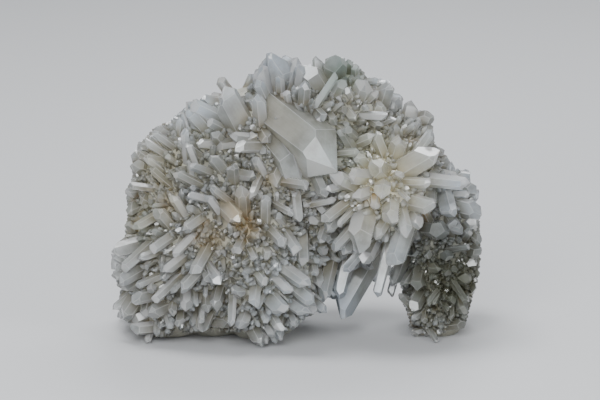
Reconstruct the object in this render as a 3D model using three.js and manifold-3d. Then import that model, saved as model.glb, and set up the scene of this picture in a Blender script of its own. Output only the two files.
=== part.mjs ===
// A cluster of milky quartz crystals, grown together over an arched mass of rock.
// Lengths are in millimetres. X runs to the right, Y to the back and Z up.
// The specimen stands on small flats where its rock was cut: two lobes on the left, a leg on the right.

import * as THREE from 'three';
import { ConvexGeometry } from 'three/addons/geometries/ConvexGeometry.js';
import { mergeVertices } from 'three/addons/utils/BufferGeometryUtils.js';
import Module from 'manifold-3d';

const wasm = await Module();
wasm.setup();

// The front is read a little from above, along a sight line that dips by this angle.
const FRONT_DIP = THREE.MathUtils.degToRad(12);

// Quartz: six sides that taper a little, and six faces at the tip, this far from the axis.
const SIDES = 6;
const TIP_FACE_ANGLE = THREE.MathUtils.degToRad(51.8);
const TAPER = THREE.MathUtils.degToRad(1.6);
const UNEVEN_SIDES = 0.22;
const DETAILED_WIDTH = 10;
const SMALL_TIP_FACE_SHIFT = 0.34;

// The foot: everything below the table is cut off flat, and no tip comes nearer to it than this.
const LOWEST_TIP = 0.6;
const CUT_SIZE = 400;

// The middle of the footprint, which becomes the origin.
const FOOTPRINT_MIDDLE = [0.5, -1.9];

// The rock under the crystals: round lumps as [centre, radii].
const ROCK_LUMPS = [
  [[-40, 0, 48], [42, 42, 50]],
  [[0, 8, 75], [58, 40, 52]],
  [[-41, 5, 76], [38, 38, 33]],
  [[22, 8, 102], [25, 24, 28]],
  [[44, 5, 78], [28, 34, 30]],
  [[40, -22, 72], [20, 20, 20]],
  [[74, 2, 38], [16, 25, 40]],
  [[73, 0, 15], [13, 21, 20]],
  [[-17, -8, 38], [29, 38, 40]],
  [[-61, 0, 24], [23, 33, 27]],
];
const LUMP_COLUMNS = 10;
const LUMP_ROWS = 6;

// Crystals that show from the front, as the front is seen:
// [root right, root up, tip right, tip up, how far the tip stands out, thickness].
const MAIN_CRYSTALS = [
  [-12, 107, 21, 81, 20, 25],
  [10, 119, 21, 96, 8, 11],
];
const ROSETTE = [
  [50, 78.5, 69.5, 90, 8, 12.5],
  [49, 84, 52.5, 97.5, 8, 9],
  [45, 77.5, 39.5, 82.5, 17, 9],
  [43, 74, 43, 69.5, 16, 8.5],
  [38, 80, 30.5, 87.5, 8, 6],
  [39, 76.5, 27, 77.5, 10, 8],
  [33.5, 70.5, 18.5, 77.5, 6, 7.5],
  [39, 70.5, 30, 67, 9, 6.5],
  [36.5, 64, 30.5, 42, 12, 13],
  [57.5, 59.5, 49, 33.5, 10, 10],
  [48.5, 66.5, 47, 54.5, 13, 9],
  [61.5, 50, 73.5, 49.5, 8, 9.5],
  [60.5, 47.5, 62.5, 37, 6, 6.5],
  [53.5, 66, 70, 61.5, 10, 8.5],
  [75.5, 73.5, 76.5, 58, 8, 8],
  [58.5, 76.5, 86.5, 73.5, 4, 7],
  [78.5, 74, 92, 68, 3, 8.5],
  [80, 74.5, 88.5, 80, 2, 8],
  [72.5, 79.5, 76, 86.5, 4, 6],
  [66.5, 72.5, 67, 62.5, 9, 7],
];
const HANGING_CRYSTALS = [
  [44, 45.5, 23.5, 9.5, 4, 11],
  [33, 45, 28.5, 29.5, 6, 6],
  [29, 46, 21.5, 15.5, 2, 7],
  [49, 50, 40.5, 17.5, 5, 5],
  [60, 50, 49.5, 23.5, 5, 7],
  [57, 50, 47.5, 17, 2, 4.5],
  [19.5, 40.5, 14, 16, 5, 7],
];
const BOTTOM_FAN = [
  [3.5, 54.5, 4, 33, 10, 7],
  [7.5, 40.5, 10, 27.5, 8, 4.5],
  [-10, 34.5, 6.5, 23, 10, 7],
  [-6.5, 27.5, 9.5, 14.5, 8, 7],
  [-13.5, 30.5, -2, 19.5, 10, 5.5],
  [-6, 17.5, 6.5, 9, 7, 6.5],
  [6.5, 17.5, 15, 10, 4, 5],
  [-16.5, 21.5, -4.5, 9, 9, 8.5],
  [9, 38, 12.5, 21, 5, 5.5],
  [-13.5, 11.5, -7, 0.5, 6, 5.5],
  [-24, 6.5, -16.5, -7, 5, 7],
  [-19.5, 2.5, -13.5, -6, 4, 5],
  [-19.5, 26.5, -20.5, 13, 10, 6],
  [-22.5, 13, -27.5, 1.5, 6, 6],
  [-36.5, 24.5, -40, 11.5, 10, 6],
  [-46, 37.5, -41, 24.5, 12, 7.5],
  [-53.5, 24.5, -54, 11, 9, 6],
  [-43.5, 6.5, -29.5, 5.5, 6, 8],
  [-29, 18, -28, 21, 14, 8],
];
const LOWER_LEFT = [
  [-72.5, 45, -92.5, 39.5, 4, 7],
  [-78, 30, -92.5, 38.5, 2, 4.5],
  [-79, 28, -92, 27.5, 2, 4.5],
  [-72.5, 33, -87.5, 24.5, 6, 7],
  [-79, 21, -91.5, 10.5, 3, 4],
  [-77.5, 19.5, -86.5, 6, 5, 8],
  [-67.5, 19, -80.5, 16, 8, 6],
  [-61.5, 13.5, -73.5, 8.5, 8, 7],
  [-61.5, 3, -82, 1, 3, 6],
  [-71.5, 2, -74, -5.5, 12, 4],
  [-71, 21, -71.5, 21.5, 12, 5.5],
];
const LEFT_MIDDLE = [
  [-52.5, 54.5, -61, 68, 9, 5],
  [-59.5, 50.5, -69, 61, 8, 7],
  [-71.5, 71.5, -64.5, 64.5, 9, 6],
  [-75.5, 69.5, -84.5, 69, 3, 5],
  [-73, 80, -81, 84, 3, 7],
  [-76, 64, -83.5, 60, 3, 6],
  [-70, 89, -77, 94, 3, 7],
  [-62, 97, -69.5, 102, 3, 6],
  [-77.5, 51.5, -84, 52, 4, 5.5],
  [-31.5, 75.5, -42, 88, 11, 6.5],
  [-12.5, 73.5, -20, 87, 9, 4.5],
  [-40, 68, -27.5, 54.5, 12, 8],
  [-31, 79, -19, 77, 8, 6],
  [-25, 48, -29.5, 39, 10, 5.5],
  [17.5, 55, 7.5, 55.5, 8, 5],
  [14, 40, 14, 40.5, 12, 5.5],
  [21.5, 54.5, 16, 44, 7, 5],
  [-15, 49.5, -14.5, 68, 9, 5],
];
const CREST = [
  [-31.5, 117, -38.5, 127, 3, 6],
  [-36.5, 113.5, -48, 115.5, 4, 7],
  [-48, 107, -54.5, 112, 4, 8],
  [-25, 98, -35, 116.5, 6, 14],
  [-16.5, 98, -18.5, 119, 5, 7],
  [-31.5, 98.5, -44, 105, 8, 5],
  [-11.5, 92, -29.5, 92, 10, 6],
  [-35.5, 92.5, -48.5, 93.5, 7, 5],
  [-56, 103, -53.5, 88.5, 8, 9],
  [-10, 116, -7.5, 140, 6, 14],
  [-12, 117, -13.5, 137.5, 4, 8],
  [-14, 113, -17.5, 132.5, 4, 7.5],
  [-13, 112, -19.5, 126, 6, 6],
  [-5, 118, 0.5, 137, 3, 9],
  [14, 117.5, 4, 134, 5, 12],
  [4, 109.5, 5, 123.5, 7, 6.5],
  [19, 124, 20.5, 135.5, 3, 11],
  [12, 124, 11, 137.5, 1, 5],
  [26.5, 127, 26.5, 136.5, 1, 4.5],
  [30.5, 124, 30.5, 134, 1, 4],
  [31, 114, 36, 126, 6, 9],
  [43, 112, 47, 125, 5, 9],
  [46, 109, 52, 117, 7, 7.5],
  [56, 103, 59, 115.5, 4, 8],
  [58, 105, 70.5, 108, 4, 8],
  [62.5, 101.5, 69.5, 100, 5, 6],
];
const RIGHT_LEG = [
  [77.5, 63, 93.5, 59, 3, 10],
  [86.5, 50.5, 79, 50, 7, 5.5],
  [85.5, 51.5, 93, 44.5, 3, 4.5],
  [75.5, 37.5, 75.5, 38, 10, 7],
  [66.5, 36.5, 71, 28.5, 6, 6],
  [84, 42, 92.5, 38.5, 3, 7],
  [88, 34.5, 79.5, 31.5, 6, 8],
  [64, 34, 60.5, 19.5, 5, 8],
  [65, 22, 59, 11, 5, 7],
  [83.5, 29.5, 85.5, 24, 7, 7],
  [66.5, 15.5, 64.5, 3.5, 3, 4],
  [78, 20.5, 78, 14, 6, 5.5],
  [62.5, 8, 52, 19, 3, 4.5],
  [64.5, 4.5, 71, -6, 14, 3.5],
  [67.5, 0.5, 58.5, -1.5, 3, 4],
  [70, 2.5, 86, 4, 3, 6],
  [86, 22, 91, 21, 3, 6],
];
const FRONT_CRYSTALS = [
  MAIN_CRYSTALS, ROSETTE, HANGING_CRYSTALS, BOTTOM_FAN, LOWER_LEFT, LEFT_MIDDLE, CREST, RIGHT_LEG,
].flat();

// Crystals on the sides and the back, which spread over each lump: how many a lump would carry
// all round, their thickness and length, and how far they lean from the surface's normal.
const AROUND_PER_LUMP = 24;
const AROUND_REACH = 90;
const AROUND_WIDTH = [7, 12];
const AROUND_LENGTH = [8, 17];
const AROUND_LENGTH_AT_EDGE = [4, 8];
const AROUND_LEAN = 0.35;
const AROUND_FRONT_LIMIT = -0.1;
const AROUND_EDGE_LIMIT = -0.4;
const AROUND_LOWEST = 9;
const AROUND_CLEARANCE = 1.14;

// A repeatable series of random numbers from 0 to 1.
const RANDOM_FACTOR = 16807;
const RANDOM_PERIOD = 2147483647;
function makeRandom(seed) {
  let state = seed;
  return () => {
    state = (state * RANDOM_FACTOR) % RANDOM_PERIOD;
    return state / RANDOM_PERIOD;
  };
}

function fromFront(right, up, near) {
  const sin = Math.sin(FRONT_DIP);
  const cos = Math.cos(FRONT_DIP);
  return new THREE.Vector3(right, up * sin - near * cos, up * cos + near * sin);
}

// How near the rock's surface lies on the sight line through a point of the front view.
// Beside the rock it is the depth at which the line passes closest to it.
function rockDepth(right, up) {
  const towardViewer = fromFront(0, 0, 1);
  const start = fromFront(right, up, 0);
  let surface = -Infinity;
  let beside = 0;
  let smallestMiss = Infinity;
  for (const [centre, radii] of ROCK_LUMPS) {
    const size = new THREE.Vector3(...radii);
    const from = start.clone().sub(new THREE.Vector3(...centre)).divide(size);
    const along = towardViewer.clone().divide(size);
    const a = along.dot(along);
    const b = from.dot(along);
    const c = from.dot(from) - 1;
    const room = b * b - a * c;
    if (room >= 0) {
      surface = Math.max(surface, (-b + Math.sqrt(room)) / a);
    } else if (-room / a < smallestMiss) {
      smallestMiss = -room / a;
      beside = -b / a;
    }
  }
  return surface > -Infinity ? surface : beside;
}

// One flat-faced solid from its half spaces, each [normal, distance].
function solidFromPlanes(planes) {
  const corners = [];
  for (let i = 0; i < planes.length; i += 1) {
    for (let j = i + 1; j < planes.length; j += 1) {
      for (let k = j + 1; k < planes.length; k += 1) {
        const corner = meetingPoint(planes[i], planes[j], planes[k]);
        if (corner && planes.every(([normal, distance]) => normal.dot(corner) < distance + 1e-6)) {
          if (corners.every((other) => other.distanceTo(corner) > 0.02)) {
            corners.push(corner);
          }
        }
      }
    }
  }
  return new ConvexGeometry(corners);
}

function meetingPoint([normalA, a], [normalB, b], [normalC, c]) {
  const crossBC = new THREE.Vector3().crossVectors(normalB, normalC);
  const volume = normalA.dot(crossBC);
  if (Math.abs(volume) < 1e-6) {
    return null;
  }
  return crossBC.multiplyScalar(a)
    .addScaledVector(new THREE.Vector3().crossVectors(normalC, normalA), b)
    .addScaledVector(new THREE.Vector3().crossVectors(normalA, normalB), c)
    .divideScalar(volume);
}

// A crystal along +Z from its root at the origin, with the wide ones showing three large tip faces.
function crystalGeometry(length, width, random) {
  const planes = [[new THREE.Vector3(0, 0, -1), 0]];
  const detailed = width >= DETAILED_WIDTH;
  const turn = random() * Math.PI;
  for (let side = 0; side < SIDES; side += 1) {
    const angle = turn + (side * 2 * Math.PI) / SIDES;
    const outward = new THREE.Vector3(Math.cos(angle), Math.sin(angle), 0);
    const reach = (width / 2) * (1 + UNEVEN_SIDES * (random() - 0.6));
    const sideNormal = outward.clone().multiplyScalar(Math.cos(TAPER)).setZ(Math.sin(TAPER));
    const middle = outward.clone().multiplyScalar(reach).setZ(length / 2);
    planes.push([sideNormal, sideNormal.dot(middle)]);
    const tipNormal = outward.clone().multiplyScalar(Math.sin(TIP_FACE_ANGLE)).setZ(Math.cos(TIP_FACE_ANGLE));
    const shift = detailed && side % 2 ? width * SMALL_TIP_FACE_SHIFT * (0.5 + random()) : 0;
    planes.push([tipNormal, tipNormal.z * (length + shift)]);
  }
  return solidFromPlanes(planes);
}

function solid(geometry) {
  const bare = geometry.clone();
  bare.deleteAttribute('normal');
  bare.deleteAttribute('uv');
  const merged = mergeVertices(bare, 1e-4);
  return new wasm.Manifold(new wasm.Mesh({
    numProp: 3,
    vertProperties: new Float32Array(merged.attributes.position.array),
    triVerts: new Uint32Array(merged.index.array),
  }));
}

// A crystal from its base inside the rock to its tip.
function crystal(base, tip, width, random) {
  const axis = tip.clone().sub(base).normalize();
  const geometry = crystalGeometry(tip.distanceTo(base), width, random);
  geometry.applyQuaternion(new THREE.Quaternion().setFromUnitVectors(new THREE.Vector3(0, 0, 1), axis));
  geometry.translate(...base);
  return solid(geometry);
}

// How deep the middle of a crystal's base lies in the rock.
function sinkOf(width) {
  return 1.5 + 0.45 * width;
}

function frontCrystals() {
  const random = makeRandom(2027);
  return FRONT_CRYSTALS.map(([right, up, tipRight, tipUp, standOut, width]) => {
    const depth = rockDepth(right, up);
    const base = fromFront(right, up, depth - sinkOf(width));
    const tip = fromFront(tipRight, tipUp, depth + standOut);
    tip.z = Math.max(tip.z, LOWEST_TIP);
    return crystal(base, tip, width, random);
  });
}

function insideOtherLump(point, own) {
  return ROCK_LUMPS.some(([centre, radii], index) => {
    const scaled = point.clone().sub(new THREE.Vector3(...centre)).divide(new THREE.Vector3(...radii));
    return index !== own && scaled.length() < AROUND_CLEARANCE;
  });
}

// Crystals spread evenly over the lumps wherever the front list does not reach.
function crystalsAround() {
  const random = makeRandom(911);
  const towardViewer = fromFront(0, 0, 1);
  const goldenAngle = Math.PI * (3 - Math.sqrt(5));
  const between = ([low, high]) => low + (high - low) * random();
  const crystals = [];
  ROCK_LUMPS.forEach(([centre, radii], lump) => {
    for (let i = 0; i < AROUND_PER_LUMP; i += 1) {
      const height = 1 - (2 * (i + 0.5)) / AROUND_PER_LUMP;
      const ring = Math.sqrt(1 - height * height);
      const unit = new THREE.Vector3(Math.cos(i * goldenAngle) * ring, Math.sin(i * goldenAngle) * ring, height);
      const size = new THREE.Vector3(...radii);
      const root = unit.clone().multiply(size).add(new THREE.Vector3(...centre));
      const normal = unit.clone().divide(size).normalize();
      if (normal.dot(towardViewer) > AROUND_FRONT_LIMIT || insideOtherLump(root, lump)) {
        continue;
      }
      if (root.z < AROUND_LOWEST || Math.abs(root.x) > AROUND_REACH) {
        continue;
      }
      const atEdge = normal.dot(towardViewer) > AROUND_EDGE_LIMIT;
      const width = between(AROUND_WIDTH);
      const base = root.clone().addScaledVector(normal, -sinkOf(width));
      const lean = new THREE.Vector3(random() - 0.5, random() - 0.5, random() - 0.5);
      const axis = normal.addScaledVector(lean, 2 * AROUND_LEAN).normalize();
      const tip = root.addScaledVector(axis, between(atEdge ? AROUND_LENGTH_AT_EDGE : AROUND_LENGTH));
      tip.set(THREE.MathUtils.clamp(tip.x, -AROUND_REACH, AROUND_REACH), tip.y, Math.max(tip.z, LOWEST_TIP));
      crystals.push(crystal(base, tip, width, random));
    }
  });
  return crystals;
}

function rockLumps() {
  return ROCK_LUMPS.map(([centre, radii]) => {
    const geometry = new THREE.SphereGeometry(1, LUMP_COLUMNS, LUMP_ROWS);
    geometry.rotateX(Math.PI / 2);
    geometry.scale(...radii);
    geometry.translate(...centre);
    return solid(geometry);
  });
}

// The largest connected surface among the triangles, which leaves out sealed pockets between crystals.
function outerSurface(triangles, vertexCount) {
  const leader = Array.from({ length: vertexCount }, (_, vertex) => vertex);
  const find = (vertex) => {
    let top = vertex;
    while (leader[top] !== top) {
      leader[top] = leader[leader[top]];
      top = leader[top];
    }
    return top;
  };
  for (let i = 0; i < triangles.length; i += 3) {
    leader[find(triangles[i + 1])] = find(triangles[i]);
    leader[find(triangles[i + 2])] = find(triangles[i]);
  }
  const groups = new Map();
  for (let i = 0; i < triangles.length; i += 3) {
    const group = find(triangles[i]);
    if (!groups.has(group)) {
      groups.set(group, []);
    }
    groups.get(group).push(triangles[i], triangles[i + 1], triangles[i + 2]);
  }
  return [...groups.values()].reduce((largest, group) => (group.length > largest.length ? group : largest));
}

// The cluster in one solid, with everything below the table taken away.
function clusterGeometry() {
  const pieces = [...rockLumps(), ...frontCrystals(), ...crystalsAround()];
  const joined = pieces.reduce((whole, piece) => whole.add(piece));
  const belowTable = new THREE.BoxGeometry(CUT_SIZE, CUT_SIZE, CUT_SIZE);
  belowTable.translate(0, 0, -CUT_SIZE / 2);
  const mesh = joined.subtract(solid(belowTable)).getMesh();
  const geometry = new THREE.BufferGeometry();
  geometry.setAttribute('position', new THREE.BufferAttribute(new Float32Array(mesh.vertProperties), 3));
  geometry.setIndex(outerSurface(mesh.triVerts, mesh.vertProperties.length / 3));
  geometry.translate(-FOOTPRINT_MIDDLE[0], -FOOTPRINT_MIDDLE[1], 0);
  geometry.computeVertexNormals();
  return geometry;
}

const milkyQuartz = new THREE.MeshStandardMaterial({ color: 0xc6c8c6, roughness: 0.25, metalness: 0 });

const specimen = new THREE.Group();
const cluster = new THREE.Mesh(clusterGeometry(), milkyQuartz);
cluster.name = 'quartz_cluster';
specimen.add(cluster);

export default specimen;
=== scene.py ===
"""A cluster of milky quartz crystals on an arched mass of rock, in soft studio light.

The tables are in millimetres and the scene is in metres. X runs to the right, Y to the back and Z up.
"""
import itertools
import math

import bmesh
import bpy
import numpy as np
from mathutils import Matrix, Vector


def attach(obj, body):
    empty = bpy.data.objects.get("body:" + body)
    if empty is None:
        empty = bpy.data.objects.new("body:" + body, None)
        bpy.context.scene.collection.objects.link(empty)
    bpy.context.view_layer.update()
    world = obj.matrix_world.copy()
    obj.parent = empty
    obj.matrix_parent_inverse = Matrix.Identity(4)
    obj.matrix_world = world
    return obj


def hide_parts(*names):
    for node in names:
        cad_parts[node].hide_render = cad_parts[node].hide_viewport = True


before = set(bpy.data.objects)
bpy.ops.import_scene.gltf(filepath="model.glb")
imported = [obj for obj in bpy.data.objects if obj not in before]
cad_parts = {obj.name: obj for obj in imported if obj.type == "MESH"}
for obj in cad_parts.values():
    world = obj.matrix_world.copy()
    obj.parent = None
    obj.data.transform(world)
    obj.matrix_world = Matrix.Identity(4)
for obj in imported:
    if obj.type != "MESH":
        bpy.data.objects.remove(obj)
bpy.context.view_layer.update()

MM = 0.001
TINY = 1e-6

# Corners this close together are one, and corners this close to a plane lie on it
SAME_PLACE = 0.02

# Repeatable draws: one series and a seed for each use
RANDOM_FACTOR = 16807
RANDOM_PRIME = 2147483647
TINT_SEED = 77
FACET_SEED = 78
UNEVEN_SEED = 79
FRONT_SEED = 2027
AROUND_SEED = 911
SHAPE_SEED = 404
PRISM_SEED = 515
ROCK_SEED = 5

# The display side, which is seen a little from above
FRONT_DIP = math.radians(12)
RIGHT = np.array([1.0, 0.0, 0.0])
UP = np.array([0.0, math.sin(FRONT_DIP), math.cos(FRONT_DIP)])
NEAR = np.array([0.0, -math.cos(FRONT_DIP), math.sin(FRONT_DIP)])
FOOTPRINT_MIDDLE = np.array([0.5, -1.9, 0.0])

# Quartz: six sides that taper a little, and six tip faces. Shifts and cuts are shares of the thickness.
SIDES = 6
TIP_FACE_ANGLE = math.radians(51.8)
TAPER = math.radians(1.1)
UNEVEN_SIDES = 0.22
UNEVEN_SIDES_MIDDLE = 0.6
TIP_UNEVEN = 0.75
TIP_UNEVEN_POWER = 1.5
TIP_SET_BACK = 0.16
FLATTEST = 0.4

# From this thickness on, every second tip face is smaller
DETAILED_WIDTH = 10
SMALL_TIP_FACE_SHIFT = 0.34

# Tips stay between these heights. One that is too high is cut lower, as if its axis rose at least this much.
LOWEST_TIP = 0.6
HIGHEST = 144.8
FLATTEST_TRIM = 0.3

# The main crystal, whose tip is cut like a chisel toward this side
MAIN_WIDTH = 25
MAIN_CHISEL = 0.9 * RIGHT + 0.2 * UP + 0.35 * NEAR
CHISEL_SHIFT = 0.12
CHISEL_CUT = 0.3

# The rim along each edge of a crystal that is built one by one, where the material paints a highlight
RIM_WIDTH = 0.35
SHORTEST_EDGE = 0.05
SHARPEST_CORNER = 0.25

# How deep the base of a large and of a finer crystal lies in the rock: a depth and a share of the thickness
LARGE_SINK = 1.5
LARGE_SINK_SHARE = 0.45
FINE_SINK = 1.0
FINE_SINK_SHARE = 0.6

# Each crystal takes its veils from another part of the noise, up to this far away
TEXTURE_SHIFT = 400

# The rock under the crystals: round lumps as (centre, radii)
ROCK_LUMPS = np.array([
    [[-40, 0, 48], [42, 42, 50]],
    [[0, 8, 75], [58, 40, 52]],
    [[-41, 5, 76], [38, 38, 33]],
    [[22, 8, 102], [25, 24, 28]],
    [[44, 5, 78], [28, 34, 30]],
    [[40, -22, 72], [20, 20, 20]],
    [[74, 2, 38], [16, 25, 40]],
    [[73, 0, 15], [13, 21, 20]],
    [[-17, -8, 38], [29, 38, 40]],
    [[-61, 0, 24], [23, 33, 27]],
], dtype=float)

# Crystals that show from the front, as the front is seen:
# (root right, root up, tip right, tip up, how far the tip stands out, thickness)
MAIN_CRYSTALS = [
    (-12, 107, 21, 81, 20, MAIN_WIDTH),
    (10, 119, 21, 96, 8, 11),
]
ROSETTE = [
    (50, 78.5, 69.5, 90, 8, 12.5),
    (49, 84, 52.5, 97.5, 8, 9),
    (45, 77.5, 39.5, 82.5, 17, 9),
    (43, 74, 43, 69.5, 16, 8.5),
    (38, 80, 30.5, 87.5, 8, 6),
    (39, 76.5, 27, 77.5, 10, 8),
    (33.5, 70.5, 18.5, 77.5, 6, 7.5),
    (39, 70.5, 30, 67, 9, 6.5),
    (36.5, 64, 30.5, 42, 12, 13),
    (57.5, 59.5, 49, 33.5, 10, 10),
    (48.5, 66.5, 47, 54.5, 13, 9),
    (61.5, 50, 73.5, 49.5, 8, 9.5),
    (60.5, 47.5, 62.5, 37, 6, 6.5),
    (53.5, 66, 70, 61.5, 10, 8.5),
    (75.5, 73.5, 76.5, 58, 8, 8),
    (58.5, 76.5, 86.5, 73.5, 4, 7),
    (78.5, 74, 92, 68, 3, 8.5),
    (80, 74.5, 88.5, 80, 2, 8),
    (72.5, 79.5, 76, 86.5, 4, 6),
    (66.5, 72.5, 67, 62.5, 9, 7),
]
HANGING_CRYSTALS = [
    (44, 45.5, 23.5, 9.5, 4, 11),
    (33, 45, 28.5, 29.5, 6, 6),
    (29, 46, 21.5, 15.5, 2, 7),
    (49, 50, 40.5, 17.5, 5, 5),
    (60, 50, 49.5, 23.5, 5, 7),
    (57, 50, 47.5, 17, 2, 4.5),
    (19.5, 40.5, 14, 16, 5, 7),
]
BOTTOM_FAN = [
    (3.5, 54.5, 4, 33, 10, 7),
    (7.5, 40.5, 10, 27.5, 8, 4.5),
    (-10, 34.5, 6.5, 23, 10, 7),
    (-6.5, 27.5, 9.5, 14.5, 8, 7),
    (-13.5, 30.5, -2, 19.5, 10, 5.5),
    (-6, 17.5, 6.5, 9, 7, 6.5),
    (6.5, 17.5, 15, 10, 4, 5),
    (-16.5, 21.5, -4.5, 9, 9, 8.5),
    (9, 38, 12.5, 21, 5, 5.5),
    (-13.5, 11.5, -7, 0.5, 6, 5.5),
    (-24, 6.5, -16.5, -7, 5, 7),
    (-19.5, 2.5, -13.5, -6, 4, 5),
    (-19.5, 26.5, -20.5, 13, 10, 6),
    (-22.5, 13, -27.5, 1.5, 6, 6),
    (-36.5, 24.5, -40, 11.5, 10, 6),
    (-46, 37.5, -41, 24.5, 12, 7.5),
    (-53.5, 24.5, -54, 11, 9, 6),
    (-43.5, 6.5, -29.5, 5.5, 6, 8),
    (-29, 18, -28, 21, 14, 8),
]
LOWER_LEFT = [
    (-72.5, 45, -92.5, 39.5, 4, 7),
    (-78, 30, -92.5, 38.5, 2, 4.5),
    (-79, 28, -92, 27.5, 2, 4.5),
    (-72.5, 33, -87.5, 24.5, 6, 7),
    (-79, 21, -91.5, 10.5, 3, 4),
    (-77.5, 19.5, -86.5, 6, 5, 8),
    (-67.5, 19, -80.5, 16, 8, 6),
    (-61.5, 13.5, -73.5, 8.5, 8, 7),
    (-61.5, 3, -82, 1, 3, 6),
    (-71.5, 2, -74, -5.5, 12, 4),
    (-71, 21, -71.5, 21.5, 12, 5.5),
]
LEFT_MIDDLE = [
    (-52.5, 54.5, -61, 68, 9, 5),
    (-59.5, 50.5, -69, 61, 8, 7),
    (-71.5, 71.5, -64.5, 64.5, 9, 6),
    (-75.5, 69.5, -84.5, 69, 3, 5),
    (-73, 80, -81, 84, 3, 7),
    (-76, 64, -83.5, 60, 3, 6),
    (-70, 89, -77, 94, 3, 7),
    (-62, 97, -69.5, 102, 3, 6),
    (-77.5, 51.5, -84, 52, 4, 5.5),
    (-31.5, 75.5, -42, 88, 11, 6.5),
    (-12.5, 73.5, -20, 87, 9, 4.5),
    (-40, 68, -27.5, 54.5, 12, 8),
    (-31, 79, -19, 77, 8, 6),
    (-25, 48, -29.5, 39, 10, 5.5),
    (17.5, 55, 7.5, 55.5, 8, 5),
    (14, 40, 14, 40.5, 12, 5.5),
    (21.5, 54.5, 16, 44, 7, 5),
    (-15, 49.5, -14.5, 68, 9, 5),
]
CREST = [
    (-31.5, 117, -38.5, 127, 3, 6),
    (-36.5, 113.5, -48, 115.5, 4, 7),
    (-48, 107, -54.5, 112, 4, 8),
    (-25, 98, -35, 116.5, 6, 14),
    (-16.5, 98, -18.5, 119, 5, 7),
    (-31.5, 98.5, -44, 105, 8, 5),
    (-11.5, 92, -29.5, 92, 10, 6),
    (-35.5, 92.5, -48.5, 93.5, 7, 5),
    (-56, 103, -53.5, 88.5, 8, 9),
    (-10, 116, -7.5, 140, 6, 14),
    (-12, 117, -13.5, 137.5, 4, 8),
    (-14, 113, -17.5, 132.5, 4, 7.5),
    (-13, 112, -19.5, 126, 6, 6),
    (-5, 118, 0.5, 137, 3, 9),
    (14, 117.5, 4, 134, 5, 12),
    (4, 109.5, 5, 123.5, 7, 6.5),
    (19, 124, 20.5, 135.5, 3, 11),
    (12, 124, 11, 137.5, 1, 5),
    (26.5, 127, 26.5, 136.5, 1, 4.5),
    (30.5, 124, 30.5, 134, 1, 4),
    (31, 114, 36, 126, 6, 9),
    (43, 112, 47, 125, 5, 9),
    (46, 109, 52, 117, 7, 7.5),
    (52, 109.5, 52.5, 117.5, 3, 3.5),
    (56, 103, 59, 115.5, 4, 8),
    (58, 105, 70.5, 108, 4, 8),
    (62.5, 101.5, 69.5, 100, 5, 6),
]
RIGHT_LEG = [
    (77.5, 63, 93.5, 59, 3, 10),
    (86.5, 50.5, 79, 50, 7, 5.5),
    (85.5, 51.5, 93, 44.5, 3, 4.5),
    (75.5, 37.5, 75.5, 38, 10, 7),
    (66.5, 36.5, 71, 28.5, 6, 6),
    (84, 42, 92.5, 38.5, 3, 7),
    (88, 34.5, 79.5, 31.5, 6, 8),
    (64, 34, 60.5, 19.5, 5, 8),
    (65, 22, 59, 11, 5, 7),
    (83.5, 29.5, 85.5, 24, 7, 7),
    (66.5, 15.5, 64.5, 3.5, 3, 4),
    (78, 20.5, 78, 14, 6, 5.5),
    (62.5, 8, 52, 19, 3, 4.5),
    (64.5, 4.5, 71, -6, 14, 3.5),
    (67.5, 0.5, 58.5, -1.5, 3, 4),
    (70, 2.5, 86, 4, 3, 6),
    (86, 22, 91, 21, 3, 6),
]
LARGE_CRYSTALS = (MAIN_CRYSTALS + ROSETTE + HANGING_CRYSTALS + BOTTOM_FAN + LOWER_LEFT
                  + LEFT_MIDDLE + CREST + RIGHT_LEG)

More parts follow.
